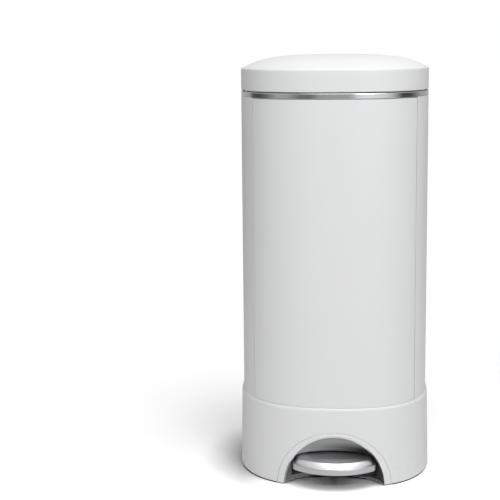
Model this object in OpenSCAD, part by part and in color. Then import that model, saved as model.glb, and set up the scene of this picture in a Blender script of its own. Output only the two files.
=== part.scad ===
// Pedal nappy bin with a hinged lid, a front door and a twisting film ring.
// Front is -Y, up is +Z. The origin is the bottom centre of the whole object's box.

/* [Body] */
// Width of the body across its widest point
body_w = 275; // [255:1:300]
// Depth from the widest line to the front face
front_d = 130; // [122:1:145]
// Depth from the widest line to the rear face
rear_d = 115; // [108:1:130]
// How square the front half is (2 is an ellipse)
front_square = 2.45; // [2.2:0.05:2.8]
// How square the rear half is (2 is an ellipse)
rear_square = 2.2; // [2:0.05:2.6]
// Height of the body between the base rim and the bright band
body_h = 440.5; // [400:0.5:480]
// Wall of the rear shell and the door panel
body_wall = 2.5; // [2:0.1:3]
// Depth of the rear shell's spigot inside the base
spigot_h = 12; // [8:1:16]
// Height of the bright band
band_h = 7.5; // [6:0.5:10]
// Wall of the bright band
band_wall = 2.2; // [1.6:0.1:2.4]
// Chamfer on the band's outer top edge
band_chamfer = 1; // [0.6:0.1:1.2]

/* [Base] */
// Height of the base up to its rim
base_h = 117; // [105:1:135]
// Wall of the base skirt
base_wall = 3; // [2.4:0.1:3.4]
// How far the base rim stands out from the body
rim_step = 2.8; // [2.4:0.1:3.6]
// Height of the rounding at the base's top edge
rim_round = 5; // [4:0.5:7]
// How far the skirt's foot stands out from the body
foot_flare = 5; // [4.2:0.1:7]
// Height of the rubber feet under the bottom plate
feet_h = 2; // [1.5:0.1:3]
// Diameter of a rubber foot
feet_dia = 22; // [16:1:28]
// Thickness of the bottom plate
plate_t = 3; // [2.5:0.1:4]
// Thickness of the chamber floor
floor_t = 3; // [2.5:0.1:4]
// Gap between the pedal and the legs of its arch
arch_gap = 12.5; // [11:0.5:17]
// Outer height of the pedal arch surround
arch_h = 82; // [78:1:92]
// Width of the surround at the legs
surround_w = 10; // [8:0.5:12]
// Width of the surround at its crown
surround_top = 5; // [4:0.5:8]
// Thickness of the pedal hood
hood_t = 1.8; // [1.4:0.1:2.4]
// Depth of the hood behind the base's front face
hood_d = 46; // [40:1:48]

/* [Lid] */
// Gap between the band and the lid skirt
lid_gap = 1.5; // [1.3:0.1:2.5]
// Height of the straight part of the lid skirt
skirt_h = 29; // [24:0.5:32]
// Radius of the lid's rounded shoulder
shoulder_r = 3.5; // [3:0.5:6]
// Height of the lid's crown above its shoulder
crown_h = 17.5; // [13:0.5:20]
// Wall of the lid
lid_wall = 2; // [1.6:0.1:2.2]
// Thickness of the liner under the lid
liner_t = 2; // [1.6:0.1:3]
// How far the lid opens, in degrees
lid_open = 80; // [70:1:85]
// Diameter of the deodoriser puck
puck_dia = 52; // [44:1:58]
// Thickness of the deodoriser puck
puck_t = 5; // [4:0.5:6]

/* [Deck] */
// Depth of the deck below the top of the band
deck_recess = 3; // [2:0.5:4]
// Thickness of the deck
deck_t = 3; // [2.5:0.5:4]
// Diameter of the drop hole
hole_dia = 112; // [100:1:116]
// Distance of the drop hole in front of the widest line
hole_y = 17; // [14:1:20]
// Width of the collar's lip on the deck
collar_lip = 3.5; // [2.5:0.5:5]
// Diameter of the door button
button_dia = 22; // [18:1:24]
// Width of the raised ring around the button
bezel_w = 5; // [3:0.5:6]
// Travel of the door button
button_travel = 5; // [3:0.5:6]

/* [Door] */
// Distance of each door seam from the centre line
seam_x = 116.5; // [108:0.5:120]
// Gap all round the door
door_gap = 1; // [0.8:0.1:1.5]
// Gap under the door
door_sill = 0.5; // [0.4:0.1:1.2]
// Depth of the door hinge pins behind the outer face
pin_depth = 7.5; // [7.2:0.1:8]
// Distance of the door hinge pins from the door's edge
pin_edge = 8; // [7.8:0.1:9]
// Diameter of the door hinge pins
pin_dia = 4; // [3:0.5:4]
// Depth of the door's inner tray
tray_depth = 7; // [5:0.5:9]
// How far the door opens, in degrees
door_open = 95; // [80:1:100]

/* [Pedal] */
// How far the pedal stands out in front of the body
pedal_out = 20; // [17:0.5:28]
// Radius of the pedal's front edge
pedal_r = 87; // [80:1:96]
// Width of the pedal at its lip
pedal_w = 120; // [108:1:124]
// Height of the underside of the pedal's lip above the floor
pedal_z = 24; // [23.4:0.2:26]
// Height of the pedal's lip
pedal_lip = 8.2; // [6:0.2:10]
// Thickness of the pedal's pressed steel
pedal_t = 1.6; // [1.2:0.1:2]
// Diameter of the pedal shaft
shaft_dia = 8; // [6:0.5:9]
// Height of the pedal shaft above the floor
shaft_z = 22; // [20:0.5:26]
// How far the pedal turns, in degrees
pedal_swing = 9; // [8:0.5:10]

/* [Hinge and lift] */
// Distance of the lid axle inside the rear face
axle_inset = 18; // [17:0.5:20]
// Distance of the lid axle below the top of the band
axle_drop = 35; // [33:0.5:40]
// Diameter of the lid axle
axle_dia = 8; // [6:0.5:9]
// Distance of each lid arm from the centre line
arm_x = 36; // [32:1:38]
// Width of each lid arm
arm_w = 12; // [8:1:13]
// Thickness of each lid arm
arm_t = 8; // [6:0.5:8]
// Travel of the lift rod
rod_travel = 18; // [16:0.5:19]
// Diameter of the lift rod
rod_dia = 6; // [5:0.5:7]

/* [Twist drive] */
// Module of all the gear teeth
gear_m = 1.5; // [1.5:0.05:1.6]
// Thickness of the toothed ring and wheels
gear_t = 3; // [2.5:0.1:3.4]
// Height of the twist ring's wall
ring_wall_h = 44; // [40:1:46]
// Height of the film cassette
cassette_h = 42; // [32:1:43]
// Depth of the film funnel from its edge to its twist
funnel_h = 15; // [10:1:20]

/* [Hidden] */
$fn = 64;
steps = 96;          // points round the plan outline
fit = 0.3;           // gap between neighbouring pieces
run = 0.08;          // radial clearance of a shaft in its bore
cut = 1;             // how far a cutting tool runs past what it cuts

// Heights
z_plate = feet_h;
z_floor = base_h - floor_t - 4;
z_spigot = base_h - spigot_h;
z_band = base_h + body_h;
z_band_top = z_band + band_h;
z_lid = z_band_top + lid_gap;
z_shoulder = z_lid + skirt_h;
z_deck_top = z_band_top - deck_recess;
z_deck = z_deck_top - deck_t;
z_axle = z_band_top - axle_drop;
z_ring = z_deck - ring_wall_h - gear_t - 4;
frame_h = 9.5;
z_frame = z_deck - frame_h;
arm_in_r = axle_drop + 6.2;
arm_out_r = arm_in_r + arm_t;
z_liner = z_axle + arm_out_r - 1;

// Places in plan, with the widest line at y = 0
pedal_reach = front_d + pedal_out;
arch_w = pedal_w + 2 * (arch_gap + surround_w);
y_axle = rear_d - axle_inset;
body_y = (pedal_reach - rear_d - foot_flare) / 2;
y_drop = -hole_y;
hole_r = hole_dia / 2;
door_z0 = base_h + door_sill;
door_z1 = z_band - door_gap;

// Pedal and lift rod
crank_half = lid_open / 2;
crank_d = rod_travel / 2 / tan(crank_half);
y_rod = y_axle - crank_d;
y_shaft = y_rod - rod_travel / 2 / sin(pedal_swing / 2);
z_rod_pin = shaft_z - rod_travel / 2;
pedal_cy = pedal_r - pedal_reach;
z_lip_top = pedal_z + pedal_lip;
bevel = 7.4;
z_tread = z_lip_top + bevel;
pedal_back = hood_d - front_d - rim_step + 1;

// Gears
ring_teeth = 96;
wheel_teeth = 28;
pinion_teeth = 10;
axle_teeth = 10;
ring_r = ring_teeth * gear_m / 2;
wheel_r = wheel_teeth * gear_m / 2;
pinion_r = pinion_teeth * gear_m / 2;
axle_gear_r = axle_teeth * gear_m / 2;
pitch = PI * gear_m;
addendum = 0.8 * gear_m;
dedendum = 1.15 * gear_m;
backlash = 0.45;
rack_x = 20;
idler_x = rack_x + pinion_r;
idler_a = asin(idler_x / (ring_r + wheel_r));
idler_y = y_drop + (ring_r + wheel_r) * cos(idler_a);
z_pinion = z_ring + gear_t + 1;
pinion_t = 5.6;
rack_pitch_z = z_axle - axle_gear_r;
rack_travel = axle_gear_r * lid_open * PI / 180;

// ---- Plan outline ----
function power(v, p) = (v < 0 ? -1 : 1) * pow(abs(v), p);
function plan_point(t, out) = let(
        front = sin(t) < 0,
        n = front ? front_square : rear_square,
        d = (front ? front_d : rear_d) + out)
    [(body_w / 2 + out) * power(cos(t), 2 / n), d * power(sin(t), 2 / n)];
function plan(out) = [for (i = [0:steps - 1]) plan_point(i * 360 / steps, out)];
// Distance of the outline in front of the widest line, and behind it, at a given x
function front_at(x, out = 0) = (front_d + out)
    * pow(1 - pow(min(1, abs(x) / (body_w / 2 + out)), front_square), 1 / front_square);
function rear_at(x, out = 0) = (rear_d + out)
    * pow(1 - pow(min(1, abs(x) / (body_w / 2 + out)), rear_square), 1 / rear_square);

// Right-hand seam: its point on the outline, its outward normal and the direction along the door
seam = [seam_x, -front_at(seam_x)];
seam_grad = [pow(seam_x / (body_w / 2), front_square - 1) / (body_w / 2),
             -pow(-seam[1] / front_d, front_square - 1) / front_d];
seam_n = seam_grad / norm(seam_grad);
seam_t = [seam_n[1], -seam_n[0]];
pin_at = seam - pin_depth * seam_n + (pin_edge + door_gap / 2) * seam_t;
pin_sweep = norm([pin_depth, pin_edge]) + 0.4;

module placed() translate([0, body_y, 0]) children();
module both_sides() { children(); mirror([1, 0, 0]) children(); }
module slab(out, z0, z1) translate([0, 0, z0]) linear_extrude(z1 - z0) polygon(plan(out));
module wall_band(out, wall, z0, z1) difference() {
    slab(out, z0, z1);
    slab(out - wall, z0 - cut, z1 + cut);
}
// A solid through outlines at [height, offset, scale]
module loft(levels) {
    count = len(levels);
    points = [for (l = levels) for (p = plan(l[1])) [p[0] * l[2], p[1] * l[2], l[0]]];
    sides = [for (j = [0:count - 2]) for (i = [0:steps - 1]) let(
            k = (i + 1) % steps, a = j * steps, b = a + steps)
        each [[a + i, b + i, b + k], [a + i, b + k, a + k]]];
    caps = [[for (i = [0:steps - 1]) i], [for (i = [steps - 1:-1:0]) (count - 1) * steps + i]];
    polyhedron(points, concat(sides, caps));
}
// Extrudes a YZ profile across x0 to x1
module across(x0, x1) translate([x0, 0, 0]) rotate([90, 0, 90]) linear_extrude(x1 - x0) children();
module disc(r, z0, z1) translate([0, 0, z0]) cylinder(r = r, h = z1 - z0);
module tube(r, r_in, z0, z1) difference() {
    disc(r, z0, z1);
    disc(r_in, z0 - cut, z1 + cut);
}
module at_drop() translate([0, y_drop, 0]) children();
module box(lo, hi) translate(lo) cube(hi - lo);

// The part of the plan that the door takes, its seams moved in by inset
module door_area(inset) {
    reach = 30;
    a = seam + inset * seam_t - reach * seam_n;
    b = seam + inset * seam_t + reach * seam_n;
    polygon([a, b, [body_w, -2 * front_d], [-body_w, -2 * front_d], [-b[0], b[1]], [-a[0], a[1]]]);
}
module door_block(inset, z0, z1) translate([0, 0, z0]) linear_extrude(z1 - z0) door_area(inset);

// A half arch with legs, as points in XZ: half width, height, squareness
function arch(w, h, n = 2, count = 48) = [for (i = [0:count]) let(t = 180 * i / count)
    [w * power(cos(t), 2 / n), h * pow(sin(t), 2 / n)]];
module arch_block(w, h) rotate([90, 0, 0]) linear_extrude(2 * front_d)
    polygon(concat([[w, -front_d]], arch(w, h), [[-w, -front_d]]));

// A helical spring of round wire
module spring(r, wire_r, z0, z1, turns) {
    rings = 8 * turns;
    sides = 6;
    rise = (z1 - z0 - 2 * wire_r) / rings;
    points = [for (i = [0:rings]) for (s = [0:sides - 1]) let(
            a = 45 * i, b = 360 * s / sides, q = r + wire_r * cos(b))
        [q * cos(a), q * sin(a), z0 + wire_r + rise * i + wire_r * sin(b)]];
    skin = [for (i = [0:rings - 1]) for (s = [0:sides - 1]) let(
            t = (s + 1) % sides, a = i * sides, b = a + sides)
        each [[a + s, b + s, b + t], [a + s, b + t, a + t]]];
    ends = [[for (s = [0:sides - 1]) s], [for (s = [sides - 1:-1:0]) rings * sides + s]];
    polyhedron(points, concat(skin, ends));
}

// Straight-sided gear teeth, turned by phase teeth
module gear_2d(teeth, phase = 0) {
    r = teeth * gear_m / 2;
    root = r - dedendum;
    tip = r + addendum;
    root_half = (pitch / 4 + dedendum * tan(20) - backlash / 2) / r * 180 / PI;
    tip_half = (pitch / 4 - addendum * tan(20) - backlash / 2) / r * 180 / PI;
    polygon([for (i = [0:teeth - 1]) let(a = (i + phase) * 360 / teeth) each [
        root * [cos(a - root_half), sin(a - root_half)], tip * [cos(a - tip_half), sin(a - tip_half)],
        tip * [cos(a + tip_half), sin(a + tip_half)], root * [cos(a + root_half), sin(a + root_half)]]]);
}
// Rack teeth along +Y, pointing to +X, pitch line at x = 0
module rack_2d(y0, count, depth) {
    root_half = pitch / 4 + dedendum * tan(20) - backlash / 2;
    tip_half = pitch / 4 - addendum * tan(20) - backlash / 2;
    polygon(concat([[-depth, y0 - pitch / 2]],
        [for (i = [0:count - 1]) let(y = y0 + i * pitch) each [
            [-dedendum, y - root_half], [addendum, y - tip_half],
            [addendum, y + tip_half], [-dedendum, y + root_half]]],
        [[-depth, y0 + (count - 0.5) * pitch]]));
}

// ---- Base ----
seat = 0.1;
base_skin = concat([[z_plate - 0.5, foot_flare - 1.5, 1], [z_plate + 1, foot_flare, 1]],
    [for (a = [0:18:72]) [base_h - rim_round * (1 - sin(a)), rim_step * cos(a), 1]], [[base_h, 3 * seat, 1]]);
module base_solid() loft(base_skin);
module base_hollow() loft([[-cut, foot_flare - base_wall, 1], [z_spigot - 6, foot_flare - base_wall, 1],
    [z_spigot - 2, seat, 1], [base_h + cut, seat, 1]]);
module base_shell() color("white") difference() {
    base_solid();
    base_hollow();
    arch_block(arch_w / 2, arch_h);
}
module arch_surround() color("white") difference() {
    intersection() {
        base_solid();
        arch_block(arch_w / 2 - fit, arch_h - fit);
    }
    base_hollow();
    arch_block(arch_w / 2 - surround_w, arch_h - surround_top);
}
// A bowl that runs back from the arch, with a slot for the pedal and its swing
hood_cols = 36;
hood_rows = 10;
z_hood = z_plate + 0.5;
function hood_point(i, j, grow) = let(
        w = arch_w / 2 - surround_w - fit + grow,
        h = arch_h - surround_top - fit + grow,
        u = 88 * j / hood_rows,
        t0 = asin(z_hood / (h * cos(u))),
        t = t0 + (180 - 2 * t0) * i / hood_cols,
        x = w * cos(t) * cos(u))
    [x, (hood_d + hood_t + grow) * sin(u) + 0.5 - front_at(x, rim_step), h * sin(t) * cos(u)];
module hood_bowl() {
    n = hood_cols + 1;
    rows = 2 * (hood_rows + 1);
    points = [for (j = [0:hood_rows]) for (i = [0:hood_cols]) hood_point(i, j, -hood_t),
              for (j = [hood_rows:-1:0]) for (i = [0:hood_cols]) hood_point(i, j, 0)];
    skin = [for (j = [0:rows - 1]) for (i = [0:hood_cols - 1]) let(a = j * n, b = ((j + 1) % rows) * n)
        each [[a + i, b + i + 1, b + i], [a + i, a + i + 1, b + i + 1]]];
    ends = [for (j = [0:hood_rows - 1]) let(a = j * n, b = a + n, c = (rows - 2 - j) * n, d = c + n) each [
        [a, b, c], [a, c, d], [b + n - 1, a + n - 1, c + n - 1], [c + n - 1, a + n - 1, d + n - 1]]];
    polyhedron(points, concat(skin, ends));
}
slot_gap = 2.2;
z_slot = pedal_z - (y_shaft + front_d) * sin(pedal_swing) - 1.5;
module pedal_hood() color("gray") difference() {
    w = pedal_w / 2 + slot_gap;
    hood_bowl();
    rotate([90, 0, 0]) linear_extrude(front_d - 4) polygon([[-w, z_slot], [-w, z_lip_top + 1],
        [bevel - w, z_tread + slot_gap], [w - bevel, z_tread + slot_gap], [w, z_lip_top + 1], [w, z_slot]]);
}
post_x = body_w / 2 - 42.5;
post_at = [[post_x, -48], [post_x, 42], [-post_x, -48], [-post_x, 42]];
screw_r = 1.6;
module at_posts() for (p = post_at) translate([p[0], p[1], 0]) children();
module bottom_plate() color("dimgray") difference() {
    slab(foot_flare - base_wall - fit, z_plate, z_plate + plate_t);
    box([-arch_w / 2 - fit, -2 * front_d, 0],
        [arch_w / 2 + fit, hood_d + hood_t - front_d - rim_step + fit, z_floor]);
    at_posts() disc(screw_r + fit, 0, z_floor);
}
foot_at = [[body_w / 2 - 37.5, 68 - front_d], [body_w / 2 - 59.5, rear_d - 47]];
module feet() color("black") both_sides() for (p = foot_at)
    translate([p[0], p[1], 0]) disc(feet_dia / 2, 0, feet_h);
module chamber_floor() color("gainsboro") {
    difference() {
        union() {
            slab(-body_wall - fit, z_floor, z_floor + floor_t);
            wall_band(-body_wall - fit, 2, z_spigot - 2.5, z_floor + floor_t + 3);
            wall_band(0, body_wall + fit + 2, z_spigot - 2.5, z_spigot);
            at_posts() disc(5, z_plate + plate_t, z_floor + floor_t / 2);
        }
        translate([0, y_rod, 0]) disc(rod_dia / 2 + 1.5, z_floor - cut, z_floor + floor_t + cut);
        at_posts() disc(screw_r, 0, z_plate + plate_t + 14);
    }
}
module base_screws() color("silver") at_posts() {
    disc(screw_r, z_plate, z_plate + plate_t + 10);
    disc(3, z_plate - 1.6, z_plate);
}
bracket_x = 52;
bracket_t = 3;
module shaft_brackets() color("silver") both_sides() difference() {
    union() {
        across(bracket_x, bracket_x + bracket_t) translate([y_shaft, 0]) {
            translate([0, shaft_z]) circle(r = shaft_dia / 2 + 5);
            translate([-shaft_dia / 2 - 5, z_plate + plate_t])
                square([shaft_dia + 10, shaft_z - z_plate - plate_t]);
        }
        box([bracket_x, y_shaft - 16, z_plate + plate_t],
            [bracket_x + 16, y_shaft + 16, z_plate + plate_t + bracket_t]);
    }
    across(bracket_x - cut, bracket_x + bracket_t + cut)
        translate([y_shaft, shaft_z]) circle(r = shaft_dia / 2);
}
module pedal_shaft() color("silver")
    across(-bracket_x - bracket_t - 3, bracket_x + bracket_t + 3)
        translate([y_shaft, shaft_z]) circle(r = shaft_dia / 2);
clip_x = bracket_x + bracket_t + 0.2;
module shaft_clips() color("dimgray") both_sides() across(clip_x, clip_x + 1.2)
    translate([y_shaft, shaft_z]) difference() {
        circle(r = shaft_dia / 2 + 2.5);
        circle(r = shaft_dia / 2);
    }
module pedal_spring() color("silver") translate([0, y_shaft - 40, 0])
    spring(7, 0.9, z_plate + plate_t + fit, shaft_z + 2, 6);

// ---- Pedal ----
lever_x = 30;
lever_t = 3;
tongue_x = 9;
bush_t = 1.2;
z_under = z_tread - pedal_t;
plate_w = pedal_w / 2 - 10;
plate_y = pedal_cy - sqrt(pow(pedal_r - bevel - pedal_t, 2) - pow(plate_w, 2)) + 2;
// Point on the tilted rear tongue, distance s behind the shaft
function tongue(s) = [y_shaft + s * cos(pedal_swing / 2), shaft_z - s * sin(pedal_swing / 2)];
tongue_len = norm([y_rod - y_shaft, z_rod_pin - shaft_z]);
module lever_bore() across(-lever_x - lever_t - cut, lever_x + lever_t + cut)
    translate([y_shaft, shaft_z]) circle(r = shaft_dia / 2 + bush_t);
module pedal_lever() color("silver") difference() {
    union() {
        across(-lever_x - lever_t, lever_x + lever_t)
            translate([y_shaft, shaft_z]) circle(r = shaft_dia / 2 + 4);
        both_sides() across(lever_x, lever_x + lever_t)
            polygon([[y_shaft, shaft_z - 7], [y_shaft, shaft_z + 7], [y_shaft - 40, shaft_z + 11],
                [pedal_back, z_under], [plate_y, z_under], [plate_y, z_under - 8],
                [-front_d + 22, z_under - 8], [y_shaft - 40, shaft_z + 2]]);
        box([-lever_x - lever_t, y_shaft - 50, shaft_z + 2],
            [lever_x + lever_t, y_shaft - 30, shaft_z + 4.5]);
        box([-plate_w, plate_y, z_under - 2.5], [plate_w, pedal_back, z_under]);
        both_sides() across(tongue_x - lever_t, tongue_x) {
            polygon([[y_shaft, shaft_z - 7], tongue(tongue_len + 7) + [0, -6],
                tongue(tongue_len + 7) + [0, 6], [y_shaft, shaft_z + 7]]);
        }
    }
    lever_bore();
    across(-tongue_x - cut, tongue_x + cut) translate([y_rod, z_rod_pin]) {
        translate([0.7, 0]) circle(r = 2.7);
        translate([-0.7, 0]) circle(r = 2.7);
        square([1.4, 5.4], center = true);
    }
}
module lever_bushes() color("ivory") both_sides() across(lever_x - 12, lever_x + lever_t)
    translate([y_shaft, shaft_z]) difference() {
        circle(r = shaft_dia / 2 + bush_t);
        circle(r = shaft_dia / 2 + run);
    }
module pedal_side(inset) rotate([90, 0, 0]) linear_extrude(2 * front_d) polygon([
    [-pedal_w / 2 + inset, -cut], [-pedal_w / 2 + inset, z_lip_top - inset],
    [-pedal_w / 2 + bevel + inset, z_tread + cut], [pedal_w / 2 - bevel - inset, z_tread + cut],
    [pedal_w / 2 - inset, z_lip_top - inset], [pedal_w / 2 - inset, -cut]]);
module pedal_form(inset, z0) intersection() {
    translate([0, pedal_cy, 0]) rotate_extrude() polygon([[0, z0], [pedal_r - inset, z0],
        [pedal_r - inset, z_lip_top - inset * 0.4], [pedal_r - bevel - inset, z_tread - inset],
        [0, z_tread - inset]]);
    pedal_side(inset);
    box([-pedal_w, -pedal_reach - cut, 0], [pedal_w, pedal_back, z_tread + 2 * cut]);
}
tread_margin = 2.2;
module tread_area(inset, z0, z1) intersection() {
    translate([0, pedal_cy, 0]) disc(pedal_r - bevel - tread_margin - inset, z0, z1);
    box([-pedal_w / 2 + bevel + tread_margin + inset, -pedal_reach, 0],
        [pedal_w / 2 - bevel - tread_margin - inset, pedal_back, z1 + cut]);
}
module pedal_rim() color("lightgray") difference() {
    pedal_form(0, pedal_z);
    pedal_form(pedal_t, pedal_z - cut);
    translate([0, cut, 0]) tread_area(0, z_under - 2, z_tread + cut);
    tread_area(0, z_under - 2, z_tread + cut);
}
module pedal_tread() color("silver") tread_area(0.15, z_under, z_tread);

// ---- Body ----
module rear_shell() color("white") {
    difference() {
        wall_band(0, body_wall, z_spigot, z_band);
        door_block(-door_gap / 2, base_h, z_band + cut);
        translate([pin_at[0], pin_at[1], 0]) disc(pin_sweep, base_h, z_band + cut);
    }
    // Stop behind the free edge of the door
    intersection() {
        union() {
            intersection() {
                wall_band(-body_wall - fit, 1.8, base_h, z_frame - 20);
                difference() {
                    door_block(-8, base_h, z_frame);
                    door_block(6, base_h - cut, z_frame + cut);
                }
            }
            intersection() {
                wall_band(-body_wall + 0.5, 1.6, base_h, z_frame - 20);
                difference() {
                    door_block(-8, base_h, z_frame);
                    door_block(-door_gap / 2 - 1, base_h - cut, z_frame + cut);
                }
            }
        }
        box([-body_w, -front_d, base_h], [0, front_d, z_band]);
    }
}
module at_pin() translate([pin_at[0], pin_at[1], 0]) children();
eye_r = 3.8;
module top_frame() color("whitesmoke") difference() {
    wall_band(-body_wall - fit, 8, z_frame, z_deck);
    // Room for the door's edge to swing round its pin
    intersection() {
        at_pin() tube(pin_sweep, eye_r, z_frame - cut, z_deck + cut);
        box([pin_at[0] - 1, -front_d, 0], [body_w, 0, z_band_top]);
    }
    at_pin() disc(pin_dia / 2, z_frame - cut, z_frame + 6);
    at_deck_screws() disc(screw_r, z_frame - cut, z_deck + cut);
}
module bright_band() color("silver") difference() {
    loft([[z_band, 0, 1], [z_band_top - band_chamfer, 0, 1], [z_band_top, -band_chamfer, 1]]);
    slab(-band_wall, z_band - cut, z_band_top + cut);
}
screw_t = [14, 62, 118, 166, 205, 250, 290, 338];
module at_deck_screws() for (t = screw_t) let(p = plan_point(t, -body_wall - fit - 4))
    translate([p[0], p[1], 0]) children();
module deck_screws() color("silver") at_deck_screws() {
    disc(screw_r, z_frame, z_deck + deck_t / 2);
    disc(3, z_frame - 1.6, z_frame);
}
button_at = [39.5 - body_w / 2, 69 - front_d];
module at_button() translate([button_at[0], button_at[1], 0]) children();
collar_t = 1.5;
module arm_slots(grow) both_sides() box([arm_x - arm_w / 2 - grow, y_axle - arm_out_r + 8.5, z_deck - cut],
    [arm_x + arm_w / 2 + grow, y_axle + 1, z_deck_top + cut]);
module top_deck() color("lightsteelblue") difference() {
    slab(-band_wall - fit, z_deck, z_deck_top);
    at_drop() disc(hole_r + collar_t, z_deck - cut, z_deck_top + cut);
    arm_slots(1);
    at_button() disc(button_dia / 2 + fit, z_deck - cut, z_deck_top + cut);
    at_deck_screws() disc(screw_r, z_deck - cut, z_deck + deck_t / 2);
}
module deck_collar() color("silver") at_drop() rotate_extrude() polygon([
    [hole_r, z_deck - 4], [hole_r + collar_t, z_deck - 4], [hole_r + collar_t, z_deck_top],
    [hole_r + collar_lip, z_deck_top], [hole_r + collar_lip, z_deck_top + 1.2],
    [hole_r + collar_lip - 0.8, z_deck_top + 2], [hole_r, z_deck_top + 2]]);
module button_bezel() color("silver") at_button() rotate_extrude() polygon([
    [button_dia / 2 + fit, z_deck_top], [button_dia / 2 + fit + bezel_w, z_deck_top],
    [button_dia / 2 + fit + bezel_w, z_deck_top + 1],
    [button_dia / 2 + fit + bezel_w - 1.2, z_deck_top + 2.2],
    [button_dia / 2 + fit, z_deck_top + 2.2]]);

// ---- Door latch ----
stem_r = 3.5;
z_cup = z_deck - 16;
strike_z = z_cup - 13;
strike_t = 2.5;
peg_y = button_at[1] - 22;
peg_r = 2.5;
module latch_guide() color("whitesmoke") at_button() difference() {
    disc(button_dia / 2 + 3, z_cup, z_deck);
    disc(button_dia / 2 + fit, z_cup + 2, z_deck + cut);
    disc(stem_r + run, z_cup - cut, z_deck);
}
module button_spring() color("silver") at_button() spring(stem_r + 3, 0.7, z_cup + 2, z_deck - 2, 5);
module release_button() color("silver") at_button() rotate_extrude() polygon(concat(
    [[0, z_deck - 2], [button_dia / 2, z_deck - 2], [button_dia / 2, z_deck_top + 3.5]],
    [for (a = [15:15:90]) [button_dia / 2 * cos(a), z_deck_top + 3.5 + 2.5 * sin(a)]]));
module latch_stem() color("gray") {
    z_foot = strike_z - fit - 2.5;
    at_button() disc(stem_r, z_foot - 3, z_deck - 2);
    box([button_at[0] - stem_r, peg_y - 4, z_foot - 3], [button_at[0] + stem_r, button_at[1], z_foot]);
    translate([button_at[0], peg_y, 0]) disc(peg_r, z_foot - 1, strike_z - fit);
}
module door_strike() color("silver") difference() {
    intersection() {
        union() {
            box([button_at[0] - 6, -front_d, strike_z], [button_at[0] + 6, peg_y + 7, strike_z + strike_t]);
            intersection() {
                box([button_at[0] - 6, -front_d, strike_z - 12], [button_at[0] + 6, peg_y, strike_z + 12]);
                wall_band(-body_wall, 2, strike_z - 12, strike_z + 12);
            }
        }
        slab(-body_wall, strike_z - 20, strike_z + 20);
    }
    translate([button_at[0], peg_y, 0]) disc(peg_r + 0.8, strike_z - cut, strike_z + strike_t + cut);
}

// ---- Door ----
barrel_h = 14;
z_barrel = z_frame - 0.6 - barrel_h;
module barrel(z0, z1) at_pin() rotate([0, 0, atan2(seam_n[1], seam_n[0])]) translate([0, 0, z0])
    linear_extrude(z1 - z0) difference() {
        union() {
            circle(r = 4);
            translate([0, -2.5]) square([pin_depth - body_wall + 1.2, 5]);
        }
        circle(r = pin_dia / 2 + run);
    }
module door_panel() color("white") {
    intersection() {
        wall_band(0, body_wall, door_z0, door_z1);
        door_block(door_gap / 2, door_z0 - cut, door_z1 + cut);
    }
    barrel(door_z0 + 0.4, door_z0 + barrel_h);
    barrel(z_barrel, z_barrel + barrel_h);
}
module door_pins() color("silver") at_pin() {
    disc(pin_dia / 2, z_floor + floor_t, door_z0 + barrel_h - 3);
    disc(pin_dia / 2, z_barrel + 3, z_frame + 6);
}
module door_tray() color("whitesmoke") {
    z0 = door_z0 + 18;
    z1 = strike_z - 20;
    rows = 4;
    row_h = (z1 - z0 - 2) / rows;
    difference() {
        intersection() {
            wall_band(-body_wall, tray_depth, z0, z1);
            door_block(16, z0, z1);
        }
        for (i = [0:rows - 1]) intersection() {
            slab(0, z0 + 2 + i * row_h, z0 + (i + 1) * row_h);
            door_block(18, 0, z_band);
        }
    }
}

// ---- Hinge and lift rod ----
plate_x = [24.5, 43.5];
plate_th = 3;
module yz_at_axle() translate([y_axle, z_axle]) children();
module hinge_brackets() color("silver") difference() {
    union() {
        both_sides() for (x = plate_x) across(x, x + plate_th) {
            yz_at_axle() circle(r = axle_dia / 2 + 4);
            translate([y_axle - 8, z_axle]) square([9.5, z_deck - z_axle]);
        }
        // Legs that carry the drive plate
        for (x = plate_x) across(x, x + plate_th)
            translate([y_axle - 2.2, z_drive]) square([3.7, z_axle - z_drive]);
    }
    across(-body_w, body_w) yz_at_axle() circle(r = axle_dia / 2 + run);
}
module hinge_damper() color("dimgray") across(46.5, 54) yz_at_axle() difference() {
    circle(r = 7.5);
    circle(r = axle_dia / 2 + run);
}
module lid_axle() color("silver") across(-50, 53) yz_at_axle() circle(r = axle_dia / 2);
arm_back = rear_at(arm_x + arm_w / 2, -lid_wall) - y_axle - 1;
module arm_form() difference() {
    top = z_liner - z_axle;
    union() {
        circle(r = axle_dia / 2 + 4);
        translate([-arm_in_r - 2, -4]) square([arm_in_r + 2, 8]);
        intersection() {
            difference() {
                union() {
                    circle(r = arm_out_r);
                    translate([-34, 36]) square([34 + arm_back, 20]);
                }
                circle(r = arm_in_r);
            }
            polygon([[-100, -14], [-100, top], [arm_back, top], [arm_back, 20], [-2, -6]]);
        }
    }
    circle(r = axle_dia / 2);
}
module lid_arms() color("silver") both_sides() across(arm_x - arm_w / 2, arm_x + arm_w / 2)
    yz_at_axle() arm_form();
crank_t = 5;
pin_r = 2;
crank_slot = pin_r + 0.75;
module crank_form() difference() {
    reach = crank_d / cos(crank_half);
    union() {
        circle(r = axle_dia / 2 + 3);
        translate([-reach + 0.4, -5.3]) square([reach, 10.6]);
        translate([-reach + 0.4, 0]) circle(r = 5.3);
    }
    circle(r = axle_dia / 2);
    translate([-crank_d, 0]) circle(r = crank_slot);
    translate([-reach, 0]) circle(r = crank_slot);
    translate([-reach, -crank_slot]) square([reach - crank_d, 2 * crank_slot]);
}
module lift_crank() color("silver") across(-crank_t / 2, crank_t / 2)
    yz_at_axle() rotate(crank_half) crank_form();
cheek_x = crank_t / 2 + 0.6;
cheek_t = 2.4;
z_clevis = z_axle - rod_travel / 2;
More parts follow.
